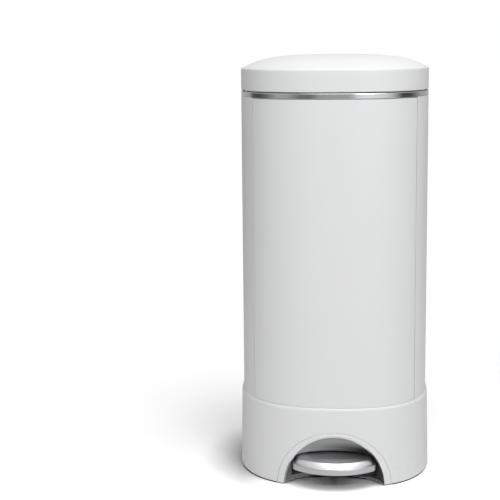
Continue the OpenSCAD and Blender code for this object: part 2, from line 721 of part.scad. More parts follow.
module rod_clevis() color("silver") difference() {
    union() {
        both_sides() across(cheek_x, cheek_x + cheek_t)
            translate([y_rod - 4, z_clevis - 15.5]) square([8, 19.5]);
        box([-cheek_x - cheek_t, y_rod - 4, z_clevis - 15.5],
            [cheek_x + cheek_t, y_rod + 4, z_clevis - 12.5]);
    }
    across(-20, 20) translate([y_rod, z_clevis]) circle(r = pin_r);
}
foot_x = tongue_x - lever_t - 0.6;
module lift_rod() color("silver") {
    translate([0, y_rod, 0]) disc(rod_dia / 2, z_rod_pin + 4, z_clevis - 15.5);
    across(-foot_x, foot_x) translate([y_rod, z_rod_pin]) difference() {
        union() {
            circle(r = 5);
            translate([-5, 0]) square([10, 9]);
        }
        circle(r = pin_r);
    }
}
module rod_pins() color("dimgray") {
    across(-cheek_x - cheek_t - 0.8, cheek_x + cheek_t + 0.8) translate([y_rod, z_clevis]) circle(r = pin_r);
    across(-tongue_x - 1, tongue_x + 1) translate([y_rod, z_rod_pin]) circle(r = pin_r);
}
cover_x = 10;
cover_t = 1.6;
z_cover = z_floor + floor_t + 3;
module rod_cover() color("whitesmoke") difference() {
    box([-cover_x, y_rod - 9, z_cover], [cover_x, rear_at(cover_x) - body_wall - fit, z_ring - 10]);
    box([-cover_x + cover_t, y_rod - 9 + cover_t, z_cover - cut],
        [cover_x - cover_t, rear_d + cut, z_ring]);
}
module rod_guides() color("ivory") for (z = [z_cover + 6, z_ring - 18]) difference() {
    box([-cover_x + cover_t, y_rod - 9 + cover_t, z], [cover_x - cover_t, y_rod + 8, z + 6]);
    translate([0, y_rod, 0]) disc(rod_dia / 2 + run, z - cut, z + 6 + cut);
}

// ---- Twist drive ----
ring_out = ring_r + addendum;
cradle_r = ring_out + 0.4;
wall_in = hole_r + 9;
cas_out = wall_in - 0.5;
cas_in = hole_r - 1;
z_shelf = z_ring - fit - 3;
z_drive = z_shelf + 3 - 0.4;
wheel_out = wheel_r + addendum;
module ring_cradle() color("whitesmoke") difference() {
    at_drop() {
        tube(cradle_r + 2.4, cradle_r, z_shelf, z_deck);
        tube(cradle_r + 2.4, hole_r + 4, z_shelf, z_shelf + 3);
    }
    translate([idler_x, idler_y, 0]) disc(wheel_out + 1, z_shelf + 3, z_pinion + pinion_t + 1);
    // Room for the end of the rack
    box([rack_back - 1, idler_y - 8 - rack_travel, z_pinion],
        [rack_x + addendum + 1, idler_y, rack_pitch_z]);
    // Room for the lid arms
    both_sides() box([arm_x - arm_w / 2 - 1, y_axle - arm_out_r - 1, z_axle - 16],
        [arm_x + arm_w / 2 + 1, y_axle, z_deck + cut]);
}
module twist_ring() color("gray") at_drop() difference() {
    union() {
        translate([0, 0, z_ring]) linear_extrude(gear_t) rotate(90 - idler_a) gear_2d(ring_teeth);
        disc(wall_in + 3, z_ring, z_ring + gear_t + ring_wall_h);
    }
    disc(hole_r + 1, z_ring - cut, z_ring + gear_t + cut);
    disc(wall_in, z_ring + gear_t, z_deck);
}
z_cas = z_ring + gear_t;
module film_cassette() color("mistyrose") at_drop() difference() {
    rotate_extrude() polygon([[cas_in, z_cas], [cas_out, z_cas], [cas_out, z_cas + cassette_h],
        [cas_out - 1.5, z_cas + cassette_h], [cas_out - 1.5, z_cas + 1.5], [cas_in + 1.5, z_cas + 1.5],
        [cas_in + 1.5, z_cas + cassette_h - 1.5], [cas_in + 4, z_cas + cassette_h - 1.5],
        [cas_in + 4, z_cas + cassette_h], [cas_in, z_cas + cassette_h]]);
    for (a = [0:30:330]) rotate(a)
        box([cas_in - 2, -9, z_cas + 8], [cas_in + 2.5, 9, z_cas + cassette_h - 8]);
}
film_t = 1.4;
bag_r = 45;
bag_h = 152;
bag_form = [[22, 22], [38, 40], [45, 62], [44, 86], [34, 106], [18, 118]] / 45;
z_film = z_ring + gear_t - 1;
neck_r = 7;
module film_funnel() color("orange") at_drop() rotate_extrude() polygon([
    [0, z_film - funnel_h], [neck_r, z_film - funnel_h], [hole_r * 0.5, z_film - funnel_h * 0.62],
    [hole_r - 4, z_film - 3], [hole_r + 1, z_film - 2], [hole_r + 1, z_film],
    [hole_r - 5, z_film - 3 + film_t],
    [hole_r * 0.5, z_film - funnel_h * 0.62 + film_t], [neck_r, z_film - funnel_h + film_t],
    [0, z_film - funnel_h + film_t - 0.4]]);
module film_bag() color("orange") at_drop() {
    top = z_film - funnel_h;
    rotate_extrude() polygon(concat([[0, top], [neck_r, top], [neck_r, top - 8]],
        [for (p = bag_form) [p[0] * bag_r, top - p[1] * bag_r]],
        [[neck_r, top - bag_h + 24], [neck_r - 1, top - bag_h + 10], [10, top - bag_h], [0, top - bag_h]]));
}
module idler_gear() color("ivory") translate([idler_x, idler_y, 0]) difference() {
    union() {
        // A gap of the wheel faces a tooth of the ring
        translate([0, 0, z_ring]) linear_extrude(gear_t) rotate(-90 - idler_a) gear_2d(wheel_teeth, 0.5);
        disc(pinion_r - dedendum, z_ring, z_pinion + pinion_t);
        // A gap of the pinion faces a tooth of the rack
        translate([0, 0, z_pinion]) linear_extrude(pinion_t) rotate(180) gear_2d(pinion_teeth, 0.5);
    }
    disc(3 + run, z_ring - cut, z_pinion + pinion_t + cut);
}
module idler_post() color("silver") translate([idler_x, idler_y, 0]) {
    disc(3, z_drive - 3, z_pinion + pinion_t + 0.3);
    disc(4.6, z_pinion + pinion_t + 0.3, z_pinion + pinion_t + 1.5);
}
rack_z0 = z_pinion + 0.3;
rack_back = rack_x - dedendum - 9.3;
rack_end = y_axle + rack_travel + 2.4;
module twist_rack() color("ivory") {
    body_top = rack_pitch_z - dedendum;
    y0 = idler_y - 7;
    box([rack_back, y0, rack_z0], [rack_x - dedendum, rack_end, body_top]);
    // Side teeth for the pinion, one of them on the line of centres
    translate([rack_x, idler_y, rack_z0]) linear_extrude(pinion_t - 0.6) rack_2d(-pitch, 5, dedendum + 1);
    // Top teeth for the gear on the axle, one of them under the axle
    translate([0, 0, rack_pitch_z]) across(rack_back, rack_x - dedendum)
        translate([y_axle, 0]) rotate(90) mirror([0, 1]) rack_2d(-pitch, 4, dedendum + 1);
}
module axle_gear() color("ivory") across(rack_back + 0.5, rack_x - dedendum - 0.5) yz_at_axle() difference() {
    rotate(-90) gear_2d(axle_teeth, 0.5);
    circle(r = axle_dia / 2);
}
module drive_plate() color("whitesmoke") {
    difference() {
        box([cheek_x + cheek_t + 2, y_drop + cradle_r - 6, z_drive - 3], [50, y_axle + 1.5, z_drive]);
        at_drop() disc(cradle_r + 2.4 + fit, z_shelf - cut, z_ring);
        translate([idler_x, idler_y, 0]) disc(3, z_shelf - cut, z_ring);
    }
    // Bed and rails of the rack, behind the wheel
    y0 = idler_y + wheel_out + 0.8;
    y1 = y_axle + 12;
    box([4.5, y0, z_drive - 3], [rack_x + 1.5, y1, z_drive]);
    box([4.5, y0, z_drive], [rack_x + 1.5, y1, rack_z0 - fit]);
    box([4.5, y0, z_drive], [rack_back - fit, y1, rack_z0 + 5]);
    box([rack_x - dedendum + fit, y0, z_drive], [rack_x + 1.5, y1, rack_z0 + 5]);
}

// ---- Lid ----
function lid_levels(wall) = concat(
    [[wall > 0 ? z_lid - cut : z_lid, -wall, 1], [z_shoulder, -wall, 1]],
    [for (a = [22.5:22.5:90]) [z_shoulder + (shoulder_r - wall) * sin(a),
        -wall - (shoulder_r - wall) * (1 - cos(a)), 1]],
    [for (s = [0.97, 0.93, 0.88, 0.82, 0.74, 0.64, 0.5, 0.3, 0.1])
        [z_shoulder + shoulder_r - wall + crown_h * (1 - pow(s, 4)), -shoulder_r, s]]);
liner_screw_at = [[80, 48], [-80, 48], [95, -62], [-95, -62]];
module at_liner_screws() for (p = liner_screw_at) translate([p[0], p[1], 0]) children();
module lid_shell() color("white") {
    difference() {
        loft(lid_levels(0));
        loft(lid_levels(lid_wall));
    }
    difference() {
        intersection() {
            at_liner_screws() disc(4.5, z_liner + liner_t, z_shoulder + shoulder_r + crown_h);
            loft(lid_levels(lid_wall / 2));
        }
        at_liner_screws() disc(screw_r, z_liner + liner_t - cut, z_liner + liner_t + 9);
    }
}
seal_r = hole_r + 8.5;
module lid_liner() color("whitesmoke") difference() {
    union() {
        slab(-lid_wall - fit, z_liner, z_liner + liner_t);
        at_drop() tube(seal_r, seal_r - 2.5, z_deck_top + 4, z_liner);
    }
    at_liner_screws() disc(screw_r, z_liner - cut, z_liner + liner_t + cut);
}
module lid_seal() color("dimgray") at_drop() tube(seal_r + 1, seal_r - 3.5, z_deck_top + 0.4, z_deck_top + 4);
module liner_screws() color("silver") at_liner_screws() {
    disc(screw_r, z_liner, z_liner + liner_t + 7);
    disc(3, z_liner - 1.6, z_liner);
}
socket_r = puck_dia / 2 + 4;
module puck_socket() color("whitesmoke") at_drop() tube(socket_r, socket_r - 2, z_liner - 8, z_liner);
module deodoriser_puck() color("palegreen") at_drop() disc(puck_dia / 2, z_liner - puck_t, z_liner);
module puck_cap() color("gainsboro") at_drop() {
    difference() {
        disc(socket_r + 2, z_liner - 10, z_liner - 0.4);
        disc(socket_r + fit, z_liner - 8.4, z_liner);
        for (a = [0:30:330]) rotate(a) box([14, -1.6, z_liner - 12], [24, 1.6, z_liner - 6]);
    }
    box([-10, -1.5, z_liner - 13], [10, 1.5, z_liner - 10]);
}

placed() base_shell();
placed() bottom_plate();
placed() feet();
placed() arch_surround();
placed() pedal_hood();
placed() shaft_brackets();
placed() pedal_shaft();
placed() shaft_clips();
placed() chamber_floor();
placed() base_screws();
placed() rear_shell();
placed() top_frame();
placed() bright_band();
placed() top_deck();
placed() deck_collar();
placed() button_bezel();
placed() latch_guide();
placed() hinge_brackets();
placed() hinge_damper();
placed() rod_cover();
placed() rod_guides();
placed() door_pins();
placed() ring_cradle();
placed() drive_plate();
placed() idler_post();
placed() deck_screws();
placed() pedal_spring();
placed() button_spring();
placed() lift_rod();
placed() rod_clevis();
placed() rod_pins();
placed() pedal_lever();
placed() pedal_rim();
placed() pedal_tread();
placed() lever_bushes();
placed() lid_shell();
placed() lid_liner();
placed() lid_seal();
placed() lid_arms();
placed() lid_axle();
placed() lift_crank();
placed() axle_gear();
placed() liner_screws();
placed() puck_socket();
placed() deodoriser_puck();
placed() puck_cap();
placed() door_panel();
placed() door_tray();
placed() door_strike();
placed() release_button();
placed() latch_stem();
placed() twist_ring();
placed() film_cassette();
placed() film_funnel();
placed() film_bag();
placed() idler_gear();
placed() twist_rack();
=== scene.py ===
import math

import bmesh
import bpy
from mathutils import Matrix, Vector


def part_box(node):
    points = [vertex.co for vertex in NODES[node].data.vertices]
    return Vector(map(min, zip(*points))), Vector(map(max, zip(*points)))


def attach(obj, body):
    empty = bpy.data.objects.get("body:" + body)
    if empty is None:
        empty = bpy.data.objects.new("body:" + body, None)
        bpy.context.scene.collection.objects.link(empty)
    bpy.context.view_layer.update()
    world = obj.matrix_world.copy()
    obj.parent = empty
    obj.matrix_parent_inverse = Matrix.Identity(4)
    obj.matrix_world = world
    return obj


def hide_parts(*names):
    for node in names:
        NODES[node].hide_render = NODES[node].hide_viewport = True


bl_info = {
    "name": "Nappy Bin Looks",
    "version": (1, 0, 0),
    "blender": (4, 5, 0),
    "location": "3D View > Sidebar > Nappy Bin",
    "description": "Dresses a pedal nappy bin: lid, band, deck, base, pedal, film and mechanism",
    "category": "Object",
}

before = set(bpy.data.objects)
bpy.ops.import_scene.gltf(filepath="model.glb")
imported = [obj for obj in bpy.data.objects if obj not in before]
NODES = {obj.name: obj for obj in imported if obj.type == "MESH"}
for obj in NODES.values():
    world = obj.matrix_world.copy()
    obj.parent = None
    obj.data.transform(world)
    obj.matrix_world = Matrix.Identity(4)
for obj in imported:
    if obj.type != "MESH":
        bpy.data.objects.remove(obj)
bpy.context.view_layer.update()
TAU = 2 * math.pi

# Plan outline of the body, in metres, as in the part's source
FRONT_DEPTH, REAR_DEPTH = 0.130, 0.115
FRONT_SQUARE, REAR_SQUARE = 2.45, 2.2
MIDLINE = 0.015
Z_BAND, Z_BAND_TOP = (c.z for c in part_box("bright_band"))
Z_LID, Z_TOP = (c.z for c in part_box("lid_shell"))
# How far the base stands out from the body at the floor, and how much of it is lost per metre of height
BASE_OUT, BASE_DRAFT = 0.005, 0.02
# Axis of the drop hole
DROP = Vector((0, -0.002, 0))
# Heights of the film's pleats, one after the other
PLEATS = (1.0, 0.55, 0.85, 0.4, 0.95, 0.7, 0.5, 0.9, 0.6, 0.8, 0.45)
SCUFF_GREY = (0.45, 0.44, 0.42)
WHITE = (1, 1, 1)


class BinSizes(bpy.types.PropertyGroup):
    """Sizes of the modelled pieces"""
    body_width: bpy.props.FloatProperty(
        name="Body width", description="Width across the widest line", default=0.275, unit="LENGTH")
    lid_shoulder: bpy.props.FloatProperty(
        name="Lid shoulder", description="Radius of the lid's shoulder", default=0.0035, unit="LENGTH")
    lid_crown: bpy.props.FloatProperty(
        name="Lid crown", description="Height of the crown over the shoulder",
        default=0.0175, unit="LENGTH")
    lid_wall: bpy.props.FloatProperty(
        name="Lid wall", description="Wall of the lid", default=0.002, unit="LENGTH")
    band_wall: bpy.props.FloatProperty(
        name="Band wall", description="Wall of the bright band", default=0.0022, unit="LENGTH")
    pedal_radius: bpy.props.FloatProperty(
        name="Pedal radius", description="Radius of the pedal's front edge", default=0.087, unit="LENGTH")
    pedal_half: bpy.props.FloatProperty(
        name="Pedal half width", description="Half the pedal's width", default=0.060, unit="LENGTH")
    arch_half: bpy.props.FloatProperty(
        name="Arch half width", description="Half the width of the arch's opening",
        default=0.0725, unit="LENGTH")
    arch_height: bpy.props.FloatProperty(
        name="Arch height", description="Height of the arch's opening", default=0.077, unit="LENGTH")
    arch_bead: bpy.props.FloatProperty(
        name="Arch bead", description="Radius of the bead on the arch's edge",
        default=0.0010, unit="LENGTH")
    film_folds: bpy.props.IntProperty(
        name="Film folds", description="Folds round the film funnel", default=11, min=6, max=30)


class BinFinish(bpy.types.PropertyGroup):
    """Colours of the finishes"""
    shell: bpy.props.FloatVectorProperty(
        name="White plastic", description="White plastic of the outside", subtype="COLOR", size=3,
        default=(0.80, 0.805, 0.81))
    inner: bpy.props.FloatVectorProperty(
        name="Inner parts", description="White inner plastic", subtype="COLOR", size=3,
        default=(0.68, 0.69, 0.70))
    deck: bpy.props.FloatVectorProperty(
        name="Deck", description="Silver deck paint", subtype="COLOR", size=3, default=(0.60, 0.625, 0.65))
    hood: bpy.props.FloatVectorProperty(
        name="Hood", description="Grey plastic of the pedal hood", subtype="COLOR", size=3,
        default=(0.84, 0.845, 0.85))
    film: bpy.props.FloatVectorProperty(
        name="Film", description="Bag film", subtype="COLOR", size=3, default=(1.0, 0.27, 0.01))
    cassette: bpy.props.FloatVectorProperty(
        name="Cassette", description="Film cassette plastic", subtype="COLOR", size=3,
        default=(0.97, 0.58, 0.52))


class BinStage(bpy.types.PropertyGroup):
    """Camera and light of the stage"""
    distance: bpy.props.FloatProperty(
        name="Camera distance", description="Distance in front of the widest line",
        default=1.74, unit="LENGTH")
    height: bpy.props.FloatProperty(
        name="Camera height", description="Height of the camera", default=0.6447, unit="LENGTH")
    tilt: bpy.props.FloatProperty(
        name="Camera tilt", description="Tilt below the horizon",
        default=math.radians(8.255), subtype="ANGLE")
    pan: bpy.props.FloatProperty(
        name="Camera pan", description="Turn to the left of the bin",
        default=math.radians(4.095), subtype="ANGLE")
    roll: bpy.props.FloatProperty(
        name="Camera roll", description="Roll that keeps the bin upright",
        default=math.radians(0.55), subtype="ANGLE")
    lens: bpy.props.FloatProperty(name="Lens", description="Focal length in millimetres", default=84.04)
    shift: bpy.props.FloatProperty(
        name="Lens shift", description="Shift of the picture as a share of its size", default=-0.09)
    key_power: bpy.props.FloatProperty(name="Key lamp", description="Power of the key lamp", default=15.5)
    fill_power: bpy.props.FloatProperty(name="Fill lamp", description="Power of the fill lamp", default=8.0)
    top_power: bpy.props.FloatProperty(name="Top lamp", description="Power of the top lamp", default=23.0)
    room_light: bpy.props.FloatProperty(
        name="Room light", description="Level of the even light", default=0.30)
    floor_gain: bpy.props.FloatProperty(
        name="Floor gain", description="How pale the camera sees the floor, 1 is as written", default=1.5)


# ---- Shared shader effects ----

def new_group(name, inputs, outputs):
    """An empty shader node group with named float inputs and outputs."""
    group = bpy.data.node_groups.new(name, "ShaderNodeTree")
    sockets = group.interface
    for label, value in inputs:
        sockets.new_socket(name=label, in_out="INPUT", socket_type="NodeSocketFloat").default_value = value
    for label in outputs:
        sockets.new_socket(name=label, in_out="OUTPUT", socket_type="NodeSocketFloat")
    return group, group.nodes.new("NodeGroupInput"), group.nodes.new("NodeGroupOutput")


def math_node(tree, kind, a, b, clamp=False):
    """A Math node whose inputs are sockets or numbers."""
    node = tree.nodes.new("ShaderNodeMath")
    node.operation = kind
    node.use_clamp = clamp
    for slot, value in enumerate((a, b)):
        if isinstance(value, bpy.types.NodeSocket):
            tree.links.new(value, node.inputs[slot])
        else:
            node.inputs[slot].default_value = value
    return node.outputs[0]


def axes(tree, kind="Object"):
    """The X, Y and Z of a texture coordinate."""
    coord = tree.nodes.new("ShaderNodeTexCoord")
    split = tree.nodes.new("ShaderNodeSeparateXYZ")
    tree.links.new(coord.outputs[kind], split.inputs[0])
    return split.outputs


def ramp_node(tree, value, low, high, to_low=0.0, to_high=1.0, smooth=False):
    """A value spread from one range to another."""
    node = tree.nodes.new("ShaderNodeMapRange")
    if smooth:
        node.interpolation_type = "SMOOTHSTEP"
    for label, number in (("From Min", low), ("From Max", high), ("To Min", to_low), ("To Max", to_high)):
        node.inputs[label].default_value = number
    tree.links.new(value, node.inputs["Value"])
    return node.outputs["Result"]


def mix_colour(tree, factor, first, second):
    """A mix of two colours, each a socket or three numbers."""
    node = tree.nodes.new("ShaderNodeMix")
    node.data_type = "RGBA"
    for label, value in (("A", first), ("B", second)):
        if isinstance(value, bpy.types.NodeSocket):
            tree.links.new(value, node.inputs[label])
        else:
            node.inputs[label].default_value = (*value, 1)
    tree.links.new(factor, node.inputs["Factor"])
    return node.outputs["Result"]


def mix_shader(tree, factor, first, second):
    """A mix of two shader nodes."""
    node = tree.nodes.new("ShaderNodeMixShader")
    tree.links.new(factor, node.inputs[0])
    tree.links.new(first.outputs[0], node.inputs[1])
    tree.links.new(second.outputs[0], node.inputs[2])
    return node


def moulded_grain():
    """Fine moulded texture with slow drift: Mask varies over large areas, Height is the grain."""
    if "Moulded Grain" in bpy.data.node_groups:
        return bpy.data.node_groups["Moulded Grain"]
    group, g_in, g_out = new_group("Moulded Grain", [("Scale", 900.0), ("Drift", 9.0)], ["Mask", "Height"])
    coord = group.nodes.new("ShaderNodeTexCoord")
    for label, source, target, detail in (("fine", "Scale", "Height", 3.0), ("slow", "Drift", "Mask", 4.0)):
        noise = group.nodes.new("ShaderNodeTexNoise")
        noise.name = label
        noise.inputs["Detail"].default_value = detail
        group.links.new(coord.outputs["Object"], noise.inputs["Vector"])
        group.links.new(g_in.outputs[source], noise.inputs["Scale"])
        group.links.new(noise.outputs["Fac"], g_out.inputs[target])
    return group


def brushed_lines():
    """Long fine scratches along X: Lines is the streak pattern, Patches its slow change."""
    if "Brushed Lines" in bpy.data.node_groups:
        return bpy.data.node_groups["Brushed Lines"]
    group, g_in, g_out = new_group(
        "Brushed Lines", [("Scale", 60.0), ("Stretch", 60.0)], ["Lines", "Patches"])
    place = axes(group)
    join = group.nodes.new("ShaderNodeCombineXYZ")
    group.links.new(place["X"], join.inputs["X"])
    for axis in ("Y", "Z"):
        drawn = math_node(group, "MULTIPLY", place[axis], g_in.outputs["Stretch"])
        group.links.new(drawn, join.inputs[axis])
    lines = group.nodes.new("ShaderNodeTexNoise")
    lines.inputs["Detail"].default_value = 4.0
    group.links.new(join.outputs[0], lines.inputs["Vector"])
    group.links.new(g_in.outputs["Scale"], lines.inputs["Scale"])
    coord = group.nodes.new("ShaderNodeTexCoord")
    patches = group.nodes.new("ShaderNodeTexNoise")
    patches.inputs["Scale"].default_value = 40.0
    group.links.new(coord.outputs["Object"], patches.inputs["Vector"])
    group.links.new(lines.outputs["Fac"], g_out.inputs["Lines"])
    group.links.new(patches.outputs["Fac"], g_out.inputs["Patches"])
    return group


def floor_scuff():
    """Scuffs that fade out above a height: Mask is 1 where the surface is scuffed."""
    if "Floor Scuff" in bpy.data.node_groups:
        return bpy.data.node_groups["Floor Scuff"]
    group, g_in, g_out = new_group("Floor Scuff", [("Height", 0.05), ("Amount", 0.3)], ["Mask"])
    coord = group.nodes.new("ShaderNodeTexCoord")
    noise = group.nodes.new("ShaderNodeTexNoise")
    noise.inputs["Scale"].default_value = 70.0
    noise.inputs["Detail"].default_value = 6.0
    group.links.new(coord.outputs["Object"], noise.inputs["Vector"])
    low = math_node(group, "DIVIDE", axes(group)["Z"], g_in.outputs["Height"], clamp=True)
    low = math_node(group, "SUBTRACT", 1.0, low, clamp=True)
    spots = math_node(group, "SUBTRACT", noise.outputs["Fac"], 0.45, clamp=True)
    spots = math_node(group, "MULTIPLY", spots, 4.0, clamp=True)
    mask = math_node(group, "MULTIPLY", low, spots)
    group.links.new(math_node(group, "MULTIPLY", mask, g_in.outputs["Amount"]), g_out.inputs["Mask"])
    return group


def hood_painted_shade():
    """Painted shade on the hood's colour: Mask grows downwards and to the right, and is even below the
    pedal.
    """
    if "Hood Painted Shade" in bpy.data.node_groups:
        return bpy.data.node_groups["Hood Painted Shade"]
    group, g_in, g_out = new_group(
        "Hood Painted Shade", [("Top", 0.059), ("Fall", 0.011), ("Width", 0.075), ("Pedal", 0.020), ("Step", 0.006),
                       ("Under", 0.55)], ["Mask"])
    place = axes(group)
    depth = math_node(group, "SUBTRACT", g_in.outputs["Top"], place["Z"])
    fall = math_node(group, "DIVIDE", depth, g_in.outputs["Fall"], clamp=True)
    across = math_node(group, "DIVIDE", place["X"], g_in.outputs["Width"])
    across = math_node(group, "ADD", across, 0.5, clamp=True)
    under = math_node(group, "SUBTRACT", depth, g_in.outputs["Pedal"])
    under = math_node(group, "DIVIDE", under, g_in.outputs["Step"], clamp=True)
    under = math_node(group, "MULTIPLY", under, g_in.outputs["Under"])
    mask = math_node(group, "MAXIMUM", math_node(group, "MULTIPLY", fall, across), under)
    group.links.new(mask, g_out.inputs["Mask"])
    return group


def shade(colour, factor):
    """A colour made lighter or darker."""
    return tuple(min(1.0, c * factor) for c in colour)


def finish(name, colour, second, rough, spread, grain=900.0, bump=0.02, metallic=0.0, brushed=False,
           scuff=0.0, shadow=0.0, drift=9.0, **sockets):
    """A material whose colour, roughness and relief come from the shared effects."""
    if name in bpy.data.materials:
        return bpy.data.materials[name]
    material = bpy.data.materials.new(name)
    material.use_nodes = True
    tree = material.node_tree
    shader = tree.nodes["Principled BSDF"]
    shader.inputs["Metallic"].default_value = metallic
    for label, value in sockets.items():
        shader.inputs[label.replace("_", " ").title()].default_value = value
    effect = tree.nodes.new("ShaderNodeGroup")
    if brushed:
        effect.node_tree = brushed_lines()
        effect.inputs["Scale"].default_value = grain
        pattern, relief = effect.outputs["Patches"], effect.outputs["Lines"]
    else:
        effect.node_tree = moulded_grain()
        effect.inputs["Scale"].default_value = grain
        effect.inputs["Drift"].default_value = drift
        pattern, relief = effect.outputs["Mask"], effect.outputs["Height"]
    tone = mix_colour(tree, relief if brushed else pattern, colour, second)
    # Scuffs are wear; the hood's mark is painted shade, darker downwards, to the right and under the pedal
    scuffs_and_painted_shade = ((floor_scuff, scuff, SCUFF_GREY), (hood_painted_shade, shadow, shade(colour, 0.1)))
    for group, amount, scuff_and_shade_tone in scuffs_and_painted_shade:
        if amount:
            scuff_and_shade_node = tree.nodes.new("ShaderNodeGroup")
            scuff_and_shade_node.node_tree = group()
            if "Amount" in scuff_and_shade_node.inputs:
                scuff_and_shade_node.inputs["Amount"].default_value = amount
            tone = mix_colour(tree, scuff_and_shade_node.outputs["Mask"], tone, scuff_and_shade_tone)
    tree.links.new(tone, shader.inputs["Base Color"])
    gloss = ramp_node(tree, pattern, 0.3, 0.7, rough - spread, rough + spread)
    tree.links.new(gloss, shader.inputs["Roughness"])
    relief_node = tree.nodes.new("ShaderNodeBump")
    relief_node.inputs["Strength"].default_value = bump
    relief_node.inputs["Distance"].default_value = 0.0004
    tree.links.new(relief, relief_node.inputs["Height"])
    tree.links.new(relief_node.outputs["Normal"], shader.inputs["Normal"])
    return material


def shell_white():
    c = bpy.context.scene.bin_finish.shell
    return finish("Gloss White Plastic", c, shade(c, 0.985), 0.42, 0.04, 1400, 0.012, scuff=0.12)


def inner_white():
    c = bpy.context.scene.bin_finish.inner
    return finish("Satin White Inner", c, shade(c, 0.95), 0.45, 0.05, 800, 0.06)


def bright_plating():
    return finish("Bright Plated Trim", (0.74, 0.75, 0.77), (0.66, 0.67, 0.69), 0.10, 0.03, 1200, 0.004,
                  metallic=1.0)


def deck_silver():
    c = bpy.context.scene.bin_finish.deck
    return finish("Silver Deck Paint", c, shade(c, 1.12), 0.36, 0.04, 2600, 0.05, metallic=0.55, drift=1800)


def collar_silver():
    return finish("Satin Silver Trim", (0.74, 0.755, 0.77), (0.69, 0.705, 0.72), 0.30, 0.04, 1500, 0.02,
                  metallic=0.35)


def brushed_steel():
    return finish("Brushed Steel", (0.62, 0.62, 0.63), (0.56, 0.56, 0.57), 0.38, 0.05, 60, 0.03,
                  metallic=0.85, brushed=True)


def plain_steel():
    return finish("Plain Steel", (0.52, 0.52, 0.53), (0.42, 0.42, 0.43), 0.36, 0.07, 400, 0.03,
                  metallic=1.0)


def hood_grey():
    c = bpy.context.scene.bin_finish.hood
    # The hood's colour carries painted shade: darker downwards, to the right and under the pedal
    return finish("Grey Hood Plastic", c, shade(c, 0.9), 0.32, 0.04, 1000, 0.03, metallic=0.35, shadow=1.0)


def ring_grey():
    return finish("Grey Ring Plastic", (0.22, 0.225, 0.235), (0.18, 0.185, 0.19), 0.45, 0.06, 900, 0.06)


def dark_plastic():
    return finish("Dark Plastic", (0.035, 0.035, 0.038), (0.05, 0.05, 0.052), 0.5, 0.06, 900, 0.08)


def soft_rubber():
    return finish("Soft Rubber", (0.022, 0.022, 0.023), (0.035, 0.035, 0.035), 0.75, 0.06, 1300, 0.12)


def gear_plastic():
    return finish("Gear Plastic", (0.72, 0.70, 0.63), (0.66, 0.64, 0.57), 0.4, 0.05, 700, 0.04)


def cassette_plastic():
    c = bpy.context.scene.bin_finish.cassette
    return finish("Cassette Plastic", c, shade(c, 0.9), 0.3, 0.05, 700, 0.03, transmission_weight=0.25)


def film_plastic():
    c = bpy.context.scene.bin_finish.film
    return finish("Bag Film", c, (0.92, 0.17, 0.005), 0.30, 0.05, 120, 0.06, drift=45,
                  transmission_weight=0.1)


def puck_gel():
    return finish("Scented Puck", (0.36, 0.60, 0.42), (0.30, 0.52, 0.36), 0.6, 0.08, 500, 0.3)


# ---- Mesh helpers ----

def arc(x, y, radius, start, end, steps, rise=None):
    """Points round (x, y) between two angles in degrees, as high as the radius or as rise."""
    rise = radius if rise is None else rise
    turns = [math.radians(start + (end - start) * i / steps) for i in range(steps + 1)]
    return [(x + radius * math.cos(a), y + rise * math.sin(a)) for a in turns]


def outline_point(turn, out=0.0, scale=1.0):
    """Point of the body's plan at a turn, moved outwards by out."""
    c, s = math.cos(turn), math.sin(turn)
    square, depth = (FRONT_SQUARE, FRONT_DEPTH) if s < 0 else (REAR_SQUARE, REAR_DEPTH)
    half = bpy.context.scene.bin_sizes.body_width / 2
    x = math.copysign(abs(c) ** (2 / square), c) * (half + out)
    y = math.copysign(abs(s) ** (2 / square), s) * (depth + out)
    return Vector((x * scale, y * scale + MIDLINE, 0))


def loft(bm, rings, closed=True, join_ends=False, caps=True):
    """Extrudes a first ring of points through the others. Each ring is a list of as many points."""
    if closed:
        verts = bmesh.ops.create_circle(bm, segments=len(rings[0]), radius=1)["verts"]
    else:
        verts = [bm.verts.new(p) for p in rings[0]]
        for a, b in zip(verts, verts[1:]):
            bm.edges.new((a, b))
    for v, p in zip(verts, rings[0]):
        v.co = p
    pairs = list(zip(verts, verts[1:] + verts[:1])) if closed else list(zip(verts, verts[1:]))
    edges = [bm.edges.get(p) for p in pairs]
    first = list(edges)
    for ring in rings[1:]:
        place = {v: i for i, v in enumerate(verts)}
        made = bmesh.ops.extrude_edge_only(bm, edges=edges)["geom"]
        fresh = [g for g in made if isinstance(g, bmesh.types.BMVert)]
        edges = [g for g in made if isinstance(g, bmesh.types.BMEdge) and all(v in fresh for v in g.verts)]
        ordered = [None] * len(verts)
        for v in fresh:
            old = next(e.other_vert(v) for e in v.link_edges if e.other_vert(v) in place)
            ordered[place[old]] = v
        verts = ordered
        for v, p in zip(verts, ring):
            v.co = p
    if join_ends:
        bmesh.ops.bridge_loops(bm, edges=first + edges)
    elif closed and caps:
        bmesh.ops.holes_fill(bm, edges=first)
        bmesh.ops.holes_fill(bm, edges=edges)
    return first, edges


def make_piece(name, bm, body, material, replaces=(), sharp=40.0):
    """Turns a bmesh into a smooth piece that rides on a body."""
    bmesh.ops.remove_doubles(bm, verts=bm.verts, dist=1e-6)
    bmesh.ops.recalc_face_normals(bm, faces=bm.faces)
    for face in bm.faces:
        face.smooth = True
    for edge in bm.edges:
        if len(edge.link_faces) == 2 and edge.calc_face_angle(0) > math.radians(sharp):
            edge.smooth = False
    mesh = bpy.data.meshes.new(name)
    bm.to_mesh(mesh)
    bm.free()
    ob = bpy.data.objects.new(name, mesh)
    bpy.context.scene.collection.objects.link(ob)
    mesh.materials.append(material)
    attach(ob, body)
    if replaces:
        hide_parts(*replaces)
    return ob


